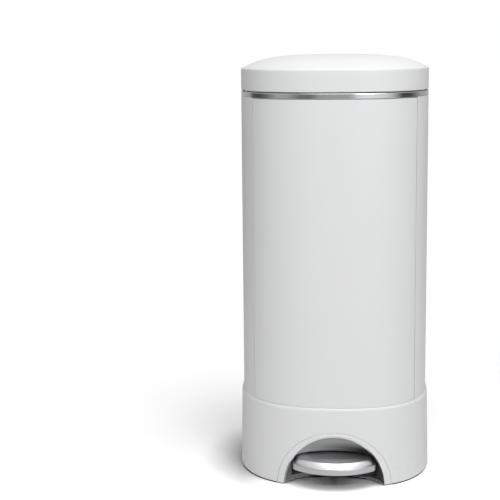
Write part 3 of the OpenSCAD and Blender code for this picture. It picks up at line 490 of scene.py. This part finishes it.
def dress(node, material, edge=0.0, angle=32.0):
    """Gives a CAD node its material, smooth faces and, where asked, softened edges."""
    ob = NODES[node]
    ob.data.materials.clear()
    ob.data.materials.append(material)
    for polygon in ob.data.polygons:
        polygon.use_smooth = True
    weld = ob.modifiers.new("Join Corners", "WELD")
    weld.merge_threshold = 1e-6
    if edge:
        flat = ob.modifiers.new("Merge Flats", "DECIMATE")
        flat.decimate_type = "DISSOLVE"
        flat.angle_limit = math.radians(0.5)
        bevel = ob.modifiers.new("Soft Edges", "BEVEL")
        bevel.width = edge
        bevel.segments = 2
        bevel.limit_method = "ANGLE"
        bevel.angle_limit = math.radians(angle)
    split = ob.modifiers.new("Crisp Edges", "EDGE_SPLIT")
    split.split_angle = math.radians(angle + 6)
    if edge:
        even = ob.modifiers.new("Even Shading", "WEIGHTED_NORMAL")
        even.weight = 80
    return ob


def front_y(x, out):
    """Y of the body's front at a place across it."""
    half = bpy.context.scene.bin_sizes.body_width / 2 + out
    return MIDLINE - (FRONT_DEPTH + out) * (1 - (abs(x) / half) ** FRONT_SQUARE) ** (1 / FRONT_SQUARE)


def ring_at(z, out=0.0, scale=1.0, count=192):
    """One ring of the body's plan at a height."""
    return [outline_point(TAU * i / count, out, scale) + Vector((0, 0, z)) for i in range(count)]


def turned(name, profile, centre, body, material, replaces=(), count=96, closed=True):
    """A turned piece from a profile of (radius, height) points about a vertical line."""
    bm = bmesh.new()
    verts = [bm.verts.new((centre.x + r, centre.y, z)) for r, z in profile]
    pairs = list(zip(verts, verts[1:])) + ([(verts[-1], verts[0])] if closed else [])
    edges = [bm.edges.new(p) for p in pairs]
    bmesh.ops.spin(bm, geom=verts + edges, cent=(centre.x, centre.y, 0), axis=(0, 0, 1), angle=TAU,
                   steps=count, use_merge=True)
    return make_piece(name, bm, body, material, replaces)


# ---- Pieces ----

def lid_profile(wall):
    """(height, outset, scale) levels of the lid from its skirt to its crown."""
    s = bpy.context.scene.bin_sizes
    radius = s.lid_shoulder - wall
    base = Z_TOP - s.lid_crown - s.lid_shoulder
    levels = [(base - 0.004, -wall, 1.0)]
    levels += [(z, out, 1.0) for out, z in arc(-wall - radius, base, radius, 0, 90, 8)]
    # The crown's rings shrink towards the middle and stop just short of it
    for i in range(1, 33):
        k = 1 - (i / 32.5) ** 1.5
        levels.append((base + radius + s.lid_crown * (1 - k ** 4), -wall - radius, k))
    return levels


class BIN_OT_lid(bpy.types.Operator):
    """Models the domed lid cover and dresses what the lid carries"""
    bl_idname = "nappy_bin.lid"
    bl_label = "Lid"

    def execute(self, context):
        s = context.scene.bin_sizes
        inner = list(reversed(lid_profile(s.lid_wall)))
        lip = [(Z_LID + 0.0012, -s.lid_wall, 1.0), (Z_LID + 0.0004, -s.lid_wall + 0.0003, 1.0),
               (Z_LID, -s.lid_wall + 0.0008, 1.0), (Z_LID, -0.0008, 1.0), (Z_LID + 0.0004, -0.0002, 1.0),
               (Z_LID + 0.0012, 0.0, 1.0), (Z_LID + 0.0030, 0.0, 1.0)]
        bm = bmesh.new()
        loft(bm, [ring_at(z, out, k) for z, out, k in inner + lip + lid_profile(0.0)])
        make_piece("lid_cover", bm, "lid", shell_white(), ["lid_shell"])
        dress("lid_liner", inner_white(), 0.0004)
        dress("lid_arms", inner_white(), 0.0006)
        for node, material in (("lid_seal", soft_rubber()), ("lid_axle", plain_steel()),
                               ("lift_crank", plain_steel()), ("axle_gear", gear_plastic()),
                               ("liner_screws", plain_steel()), ("puck_socket", inner_white()),
                               ("deodoriser_puck", puck_gel())):
            dress(node, material)
        dress("puck_cap", inner_white(), 0.0004)
        return {"FINISHED"}


class BIN_OT_body(bpy.types.Operator):
    """Dresses the rear shell and the door with its tray, pins and strike"""
    bl_idname = "nappy_bin.body"
    bl_label = "Body and Door"

    def execute(self, context):
        dress("rear_shell", shell_white(), 0.0003)
        dress("door_panel", shell_white(), 0.0002)
        dress("door_tray", inner_white(), 0.0004)
        dress("door_pins", plain_steel())
        dress("door_strike", plain_steel(), 0.0003)
        dress("top_frame", inner_white(), 0.0004)
        dress("rod_cover", inner_white(), 0.0004)
        return {"FINISHED"}


class BIN_OT_band(bpy.types.Operator):
    """Models the polished band and the bead round the deck"""
    bl_idname = "nappy_bin.band"
    bl_label = "Bright Band"

    def execute(self, context):
        s = context.scene.bin_sizes
        top, low, wall, edge = Z_BAND_TOP, Z_BAND, s.band_wall, 0.0009
        profile = [(0.0, low + 0.0003), (0.0, low + 0.0009), (0.0, top - 0.0016)]
        profile += arc(-edge, top - edge, edge, 0, 90, 6)
        profile += [(-wall + 0.0004, top), (-wall, top - 0.0004), (-wall, low), (-0.0003, low)]
        bm = bmesh.new()
        loft(bm, [ring_at(z, out) for out, z in profile], join_ends=True)
        make_piece("polished_band", bm, "bin", bright_plating(), ["bright_band"])
        deck_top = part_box("top_deck")[1].z
        bead = arc(-0.0057, deck_top, 0.0015, 0, 180, 8, rise=0.0011)
        bm = bmesh.new()
        loft(bm, [ring_at(z, out) for out, z in bead], join_ends=True)
        make_piece("deck_bead", bm, "bin", bright_plating())
        return {"FINISHED"}


class BIN_OT_deck(bpy.types.Operator):
    """Dresses the deck and models its collar, button and bezel"""
    bl_idname = "nappy_bin.deck"
    bl_label = "Deck"

    def execute(self, context):
        dress("top_deck", deck_silver(), 0.0004)
        low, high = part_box("deck_collar")
        inner, outer, z = 0.056, high.x, high.z
        edge, wall, skirt = 0.0010, 0.0015, 0.002
        profile = [(inner, low.z)] + arc(inner + edge, z - edge, edge, 180, 90, 5)
        profile += arc(outer - edge, z - edge, edge, 90, 0, 5)
        profile += [(outer, z - skirt), (inner + wall, z - skirt), (inner + wall, low.z)]
        turned("drop_collar", profile, DROP, "bin", collar_silver(), ["deck_collar"], 128)
        low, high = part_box("button_bezel")
        middle = (low + high) / 2
        centre = Vector((middle.x, middle.y, 0))
        inner, outer, z = 0.0113, (high.x - low.x) / 2, high.z
        profile = [(inner, low.z), (inner, z - 0.0006), (inner + 0.0002, z - 0.0002), (inner + 0.0008, z),
                   (outer - 0.0022, z), (outer - 0.0010, z - 0.0004), (outer - 0.0003, z - 0.0011),
                   (outer, low.z)]
        turned("button_ring", profile, centre, "bin", collar_silver(), ["button_bezel"])
        low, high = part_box("release_button")
        radius, dome = (high.x - low.x) / 2, 0.0026
        profile = [(0, low.z), (radius, low.z), (radius, high.z - 0.0028)]
        profile += arc(0, high.z - dome, radius, 9, 90, 9, rise=dome)
        turned("push_button", profile, centre, "button", collar_silver(), ["release_button"],
               closed=False)
        for node, material in (("latch_guide", inner_white()), ("latch_stem", ring_grey()),
                               ("button_spring", plain_steel()), ("deck_screws", plain_steel())):
            dress(node, material)
        return {"FINISHED"}


def arch_bead_rings(count=65, around=12, start=54, sweep=72, tip=0.00002, lift=0.0003):
    """Rings of the fine bead on the arch's edge, which runs out to a tip at both sides."""
    s = bpy.context.scene.bin_sizes
    rings = []
    for i in range(count):
        share = i / (count - 1)
        t = math.radians(start + sweep * share)
        x, z = s.arch_half * math.cos(t), s.arch_height * math.sin(t)
        radial = Vector((math.cos(t) / s.arch_half, 0, math.sin(t) / s.arch_height)).normalized()
        radius = tip + s.arch_bead * min(1, math.sin(math.pi * share) * 2.2)
        middle = Vector((x, front_y(x, BASE_OUT - BASE_DRAFT * z), z)) + radial * (radius + lift)
        rings.append([middle + radial * out + Vector((0, y, 0))
                      for out, y in arc(0, 0, radius, 0, 360, around)[:-1]])
    return rings


class BIN_OT_base(bpy.types.Operator):
    """Dresses the base and the bowl behind the pedal, and models the beads on its rim and its arch"""
    bl_idname = "nappy_bin.base"
    bl_label = "Base"

    def execute(self, context):
        dress("base_shell", shell_white(), 0.0004, 50)
        dress("arch_surround", shell_white(), 0.0009, 50)
        # A fine bead carries the rim's rounding up to the door
        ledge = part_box("base_shell")[1].z
        bead = [(0.0001, ledge - 0.0003), (0.0001, ledge + 0.00036), (0.00018, ledge + 0.00042),
                (0.00035, ledge + 0.00034), (0.0006, ledge + 0.00012), (0.0009, ledge - 0.00022),
                (0.0009, ledge - 0.0004)]
        bm = bmesh.new()
        loft(bm, [ring_at(z, out) for out, z in bead], join_ends=True)
        make_piece("rim_bead", bm, "bin", shell_white())
        bm = bmesh.new()
        loft(bm, arch_bead_rings())
        make_piece("arch_bead", bm, "bin", shell_white())
        dress("pedal_hood", hood_grey())
        for node, material in (("bottom_plate", ring_grey()), ("feet", soft_rubber()),
                               ("chamber_floor", inner_white()), ("base_screws", plain_steel()),
                               ("shaft_brackets", plain_steel()), ("pedal_shaft", plain_steel()),
                               ("shaft_clips", dark_plastic()), ("pedal_spring", plain_steel())):
            dress(node, material)
        return {"FINISHED"}


def pedal_outline(inset):
    """Half-disc of the pedal, from its right back corner round the front, the left one and the back."""
    s = bpy.context.scene.bin_sizes
    low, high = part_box("pedal_rim")
    back, centre_y, corner = high.y, low.y + s.pedal_radius, 0.010
    r, w = s.pedal_radius - inset, s.pedal_half - inset
    # Centre of the fillet that joins the straight side to the front arc, and where the arc begins
    cx = w - corner
    cy = centre_y - math.sqrt(max((r - corner) ** 2 - cx ** 2, 0))
    side = math.degrees(math.atan2(cx, centre_y - cy))
    half = [(w, back + (cy - back) * i / 6) for i in range(6)] + arc(cx, cy, corner, 0, side - 90, 10)
    points = half + arc(0, centre_y, r, side - 90, -side - 90, 40)[1:-1]
    points += [(-x, y) for x, y in reversed(half)]
    points += [(-w + 2 * w * i / 12, back) for i in range(1, 12)]
    return [Vector((x, y, 0)) for x, y in points]


def pedal_ring(inset, z, ledge=0.0):
    """The pedal's outline at a height, drawn in at both ends of the front by a ledge."""
    half = bpy.context.scene.bin_sizes.pedal_half
    return [p.lerp(q, min(1, abs(p.x) / half) ** 3) + Vector((0, 0, z))
            for p, q in zip(pedal_outline(inset), pedal_outline(inset + ledge))]


class BIN_OT_pedal(bpy.types.Operator):
    """Models the pressed steel pedal with its rolled front and dresses the lever"""
    bl_idname = "nappy_bin.pedal"
    bl_label = "Pedal"

    def execute(self, context):
        low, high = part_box("pedal_rim")
        z_low, z_top, back, front_height = low.z, high.z, high.y, 0.0092
        crease = z_low + front_height
        # (inset, height, ledge) of the rolled front, then of the tread's rise
        levels = [(0.0016, z_low + 0.0004), (0.0008, z_low), (0.0002, z_low + 0.0003),
                  (0.0, z_low + 0.0009), (0.0, crease - 0.0012), (0.0003, crease - 0.0004),
                  (0.0008, crease - 0.0001), (0.0013, crease - 0.0001, 0.0018),
                  (0.0016, crease + 0.0001, 0.0020)]
        for i in range(1, 10):
            k = i / 10
            z = crease + 0.0001 + (z_top - crease - 0.0004) * k ** 0.9
            levels.append((0.0016 + 0.0058 * k ** 1.1, z, 0.0020 * (1 - k)))
        levels += [(0.0078, z_top - 0.00005), (0.0086, z_top)]
        bm = bmesh.new()
        _, last = loft(bm, [pedal_ring(*level) for level in levels], caps=False)
        bmesh.ops.holes_fill(bm, edges=last)
        # The pressed sheet has no wall at its back
        behind = [f for f in bm.faces if all(abs(v.co.y - back) < 1e-6 for v in f.verts)]
        bmesh.ops.delete(bm, geom=behind, context="FACES")
        plate = make_piece("pedal_plate", bm, "pedal", brushed_steel(), ["pedal_rim", "pedal_tread"],
                           sharp=28)
        wall = plate.modifiers.new("Sheet Steel", "SOLIDIFY")
        wall.thickness = 0.0014
        wall.offset = -1
        dress("pedal_lever", plain_steel(), 0.0003)
        dress("lever_bushes", gear_plastic())
        return {"FINISHED"}


def film_path(top, neck_z, bag_low):
    """(radius, height, depth of the folds, twist in turns) of the film, from the cassette to its tail."""
    mouth, neck, belly, crimp = 0.0563, 0.0045, 0.0425, 0.0011
    start, bottom = neck_z - 0.0085, bag_low + 0.026
    path = []
    # The funnel narrows and turns on its way down
    for i in range(19):
        k = i / 18
        z = top - 0.0012 - (top - neck_z - 0.0024) * k ** 1.1
        depth = 0.0052 * math.sin(math.pi * min(1, k * 1.06 + 0.02)) ** 0.8
        path.append((mouth * (1 - k) + 0.005 * k, z, depth, 0.20 * k ** 1.6))
    path += [(neck + 0.0001, neck_z - 0.0012 * i, crimp, 0.20 + 0.10 * i) for i in range(1, 7)]
    # The bag swells between the upper twist and the lower one
    for i in range(1, 25):
        k = i / 24
        swell = math.sin(math.pi * k)
        radius = belly * swell ** 0.62 * (0.94 + 0.1 * k) + neck
        path.append((radius, start - (start - bottom) * k, 0.0026 * (1 - swell) + 0.0005, 0.80 + 0.16 * k))
    path += [(neck, bottom - 0.0022 * i, crimp, 0.96 + 0.14 * i) for i in range(1, 6)]
    path += [(neck + 0.0012 * i, bottom - 0.011 - 0.0030 * i, 0.0016, 1.66 + 0.02 * i) for i in range(1, 5)]
    return path


def film_ring(radius, z, depth, twist, folds, neck_z):
    """One ring of the film: rounded pleats with sharp valleys above the neck, ripples below it."""
    ring = []
    count = folds * 18
    for j in range(count):
        a = TAU * j / count
        turn = a + TAU * twist
        if z > neck_z:
            pleat, across = divmod(folds * a / TAU, 1)
            ridge = PLEATS[int(pleat) % len(PLEATS)] * math.sin(math.pi * across) ** 0.75
            lift, r = depth * (ridge - 0.45), radius
        else:
            ripple = math.cos(15 * a) + 0.35 * math.cos(31 * a + 1.3) + 0.3 * math.cos(3 * a + 40 * z)
            lift, r = 0.0, radius - depth * 0.45 * (1 + ripple * 0.7)
        r = max(r, 0.0022)
        ring.append(Vector((DROP.x + r * math.cos(turn), DROP.y + r * math.sin(turn), z + lift)))
    return ring


class BIN_OT_film(bpy.types.Operator):
    """Models the gathered bag film and dresses the cassette and its ring"""
    bl_idname = "nappy_bin.film"
    bl_label = "Film"

    def execute(self, context):
        folds = context.scene.bin_sizes.film_folds
        low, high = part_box("film_funnel")
        path = film_path(high.z, low.z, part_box("film_bag")[0].z)
        rings = [film_ring(*level, folds, low.z) for level in path]
        bm = bmesh.new()
        loft(bm, rings, caps=False)
        area = sum(f.calc_area() for f in bm.faces)
        film = make_piece("bag_film", bm, "twister", film_plastic(), ["film_funnel", "film_bag"],
                          sharp=180)
        dress("film_cassette", cassette_plastic(), 0.0003)
        dress("twist_ring", ring_grey(), 0.0002)
        dress("ring_cradle", inner_white(), 0.0003)
        return {"FINISHED"}


class BIN_OT_mechanism(bpy.types.Operator):
    """Dresses the hinge, the lift rod and the twist drive"""
    bl_idname = "nappy_bin.mechanism"
    bl_label = "Mechanism"

    def execute(self, context):
        for node, material in (("hinge_brackets", plain_steel()), ("hinge_damper", dark_plastic()),
                               ("rod_guides", gear_plastic()), ("drive_plate", inner_white()),
                               ("idler_post", plain_steel()), ("lift_rod", plain_steel()),
                               ("rod_clevis", plain_steel()), ("rod_pins", plain_steel()),
                               ("idler_gear", gear_plastic()), ("twist_rack", gear_plastic())):
            dress(node, material)
        return {"FINISHED"}


# ---- Stage ----

def lamp(name, place, aim, power, size):
    """A rectangular lamp that points at a place."""
    data = bpy.data.lights.new(name, "AREA")
    data.energy = power
    data.shape = "RECTANGLE"
    data.size, data.size_y = size
    ob = bpy.data.objects.new(name, data)
    bpy.context.scene.collection.objects.link(ob)
    ob.location = place
    ob.rotation_mode = "QUATERNION"
    ob.rotation_quaternion = (Vector(aim) - Vector(place)).to_track_quat("-Z", "Y")
    return ob


# Turn from the front towards the right in degrees, and how bright the studio is there
SURROUND = ((-180, 0.55), (-124, 0.42), (-110, 0.09), (-92, 0.08), (-76, 0.18), (-56, 0.48), (-41, 0.44),
            (-26, 0.20), (-15, 0.18), (-7, 0.42), (8, 0.45), (16, 0.95), (44, 1.00), (60, 0.55), (76, 0.06),
            (96, 0.08), (124, 0.42), (180, 0.55))


def surround_tone(tree):
    """Tone of the studio by direction, as bright metal shows it: soft boxes, dark gaps, a pale ceiling."""
    way = axes(tree, "Generated")
    turn = math_node(tree, "ARCTAN2", way["X"], math_node(tree, "MULTIPLY", way["Y"], -1.0))
    place = math_node(tree, "ADD", math_node(tree, "DIVIDE", turn, TAU), 0.5)
    ramp = tree.nodes.new("ShaderNodeValToRGB")
    stops = ramp.color_ramp.elements
    while len(stops) < len(SURROUND):
        stops.new(0.5)
    for stop, (degrees, tone) in zip(stops, SURROUND):
        stop.position = degrees / 360 + 0.5
        stop.color = (tone, tone, tone, 1)
    tree.links.new(place, ramp.inputs["Fac"])
    ceiling = ramp_node(tree, way["Z"], 0.12, 0.55, smooth=True)
    return mix_colour(tree, ceiling, ramp.outputs["Color"], WHITE)


def studio_world(room_light):
    """Even light on all, the studio for glossy rays, and white for what the camera sees directly."""
    world = bpy.data.worlds.new("Studio World")
    world.use_nodes = True
    tree = world.node_tree
    tree.nodes.clear()
    out = tree.nodes.new("ShaderNodeOutputWorld")
    path = tree.nodes.new("ShaderNodeLightPath")
    room, mirrored, white = (tree.nodes.new("ShaderNodeBackground") for _ in range(3))
    room.inputs["Strength"].default_value = room_light
    for background in (room, white):
        background.inputs["Color"].default_value = (*WHITE, 1)
    tree.links.new(surround_tone(tree), mirrored.inputs["Color"])
    glossy = mix_shader(tree, path.outputs["Is Glossy Ray"], room, mirrored)
    clear = math_node(tree, "MAXIMUM", path.outputs["Is Camera Ray"], path.outputs["Is Transmission Ray"])
    seen = mix_shader(tree, clear, glossy, white)
    tree.links.new(seen.outputs[0], out.inputs["Surface"])
    return world


def seen_floor(tree, gain):
    """The floor as the camera sees it: painted shadow from occlusion, dark in the crease under the bin and
    soft on the left, white afar.
    """
    near = tree.nodes.new("ShaderNodeBsdfDiffuse")
    crease = tree.nodes.new("ShaderNodeAmbientOcclusion")
    crease.samples = 24
    crease.inputs["Distance"].default_value = 0.07
    # Painted shadow: occlusion darkens the floor's colour in the crease under the bin, and softly on its
    # left
    painted_crease_shadow = ramp_node(tree, crease.outputs["AO"], 0.212, 0.33, smooth=True)
    left = ramp_node(tree, axes(tree)["X"], -0.09, -0.135)
    soft = math_node(tree, "POWER", crease.outputs["AO"], math_node(tree, "MULTIPLY", left, 1.5))
    tone = math_node(tree, "MULTIPLY", math_node(tree, "MULTIPLY", painted_crease_shadow, gain), soft)
    grey = tree.nodes.new("ShaderNodeCombineColor")
    for channel in grey.inputs:
        tree.links.new(tone, channel)
    tree.links.new(grey.outputs[0], near.inputs["Color"])
    coord = tree.nodes.new("ShaderNodeTexCoord")
    reach = tree.nodes.new("ShaderNodeVectorMath")
    reach.operation = "LENGTH"
    tree.links.new(coord.outputs["Object"], reach.inputs[0])
    fade = ramp_node(tree, reach.outputs["Value"], 0.25, 0.60, smooth=True)
    return mix_shader(tree, fade, near, tree.nodes.new("ShaderNodeEmission"))


def floor_finish(gain):
    """Matte white for the light, and what the camera sees of it."""
    material = bpy.data.materials.new("Studio Floor")
    material.use_nodes = True
    tree = material.node_tree
    tree.nodes.clear()
    out = tree.nodes.new("ShaderNodeOutputMaterial")
    matte = tree.nodes.new("ShaderNodeBsdfDiffuse")
    matte.inputs["Color"].default_value = (0.86, 0.86, 0.86, 1)
    path = tree.nodes.new("ShaderNodeLightPath")
    mix = mix_shader(tree, path.outputs["Is Camera Ray"], matte, seen_floor(tree, gain))
    tree.links.new(mix.outputs[0], out.inputs["Surface"])
    return material


class BIN_OT_stage(bpy.types.Operator):
    """Makes the floor, the lamps, the world and the camera"""
    bl_idname = "nappy_bin.stage"
    bl_label = "Stage"

    def execute(self, context):
        scene, s = context.scene, context.scene.bin_stage
        bm = bmesh.new()
        bmesh.ops.create_grid(bm, x_segments=1, y_segments=1, size=6)
        mesh = bpy.data.meshes.new("studio_floor")
        bm.to_mesh(mesh)
        bm.free()
        floor = bpy.data.objects.new("studio_floor", mesh)
        scene.collection.objects.link(floor)
        mesh.materials.append(floor_finish(s.floor_gain))
        scene.world = studio_world(s.room_light)

        lamp("key_lamp", (1.0, -2.3, 1.35), (0, 0, 0.32), s.key_power, (1.0, 1.6))
        fill = lamp("fill_lamp", (-0.55, -2.4, 0.75), (0, 0, 0.3), s.fill_power, (0.9, 1.3))
        fill.visible_glossy = False
        lamp("top_lamp", (0.25, -0.5, 2.2), (0, 0, 0.5), s.top_power, (1.6, 1.2))

        data = bpy.data.cameras.new("view_camera")
        camera = bpy.data.objects.new("view_camera", data)
        scene.collection.objects.link(camera)
        camera.location = (0, MIDLINE - s.distance, s.height)
        camera.rotation_mode = "XYZ"
        camera.rotation_euler = (math.pi / 2 - s.tilt, s.roll, s.pan)
        data.sensor_width = 36
        data.lens = s.lens
        data.shift_y = s.shift
        data.clip_start = 0.05
        scene.camera = camera
        scene.view_settings.view_transform = "Standard"
        return {"FINISHED"}


class BIN_PT_panel(bpy.types.Panel):
    bl_label = "Nappy Bin"
    bl_idname = "BIN_PT_panel"
    bl_space_type = "VIEW_3D"
    bl_region_type = "UI"
    bl_category = "Nappy Bin"

    def draw(self, context):
        for group in (context.scene.bin_sizes, context.scene.bin_finish, context.scene.bin_stage):
            box = self.layout.box()
            for name in group.__annotations__:
                box.prop(group, name)
        for step in STEPS:
            self.layout.operator(step.bl_idname)


STEPS = (BIN_OT_stage, BIN_OT_lid, BIN_OT_body, BIN_OT_band, BIN_OT_deck, BIN_OT_base, BIN_OT_pedal,
         BIN_OT_film, BIN_OT_mechanism)
GROUPS = {"bin_sizes": BinSizes, "bin_finish": BinFinish, "bin_stage": BinStage}


def register():
    for cls in (*GROUPS.values(), *STEPS, BIN_PT_panel):
        bpy.utils.register_class(cls)
    for name, group in GROUPS.items():
        setattr(bpy.types.Scene, name, bpy.props.PointerProperty(type=group))


def unregister():
    for name in GROUPS:
        delattr(bpy.types.Scene, name)
    for cls in reversed((*GROUPS.values(), *STEPS, BIN_PT_panel)):
        bpy.utils.unregister_class(cls)


def main():
    register()
    for step in STEPS:
        group, name = step.bl_idname.split(".")
        getattr(getattr(bpy.ops, group), name)()


if __name__ == "__main__":
    main()
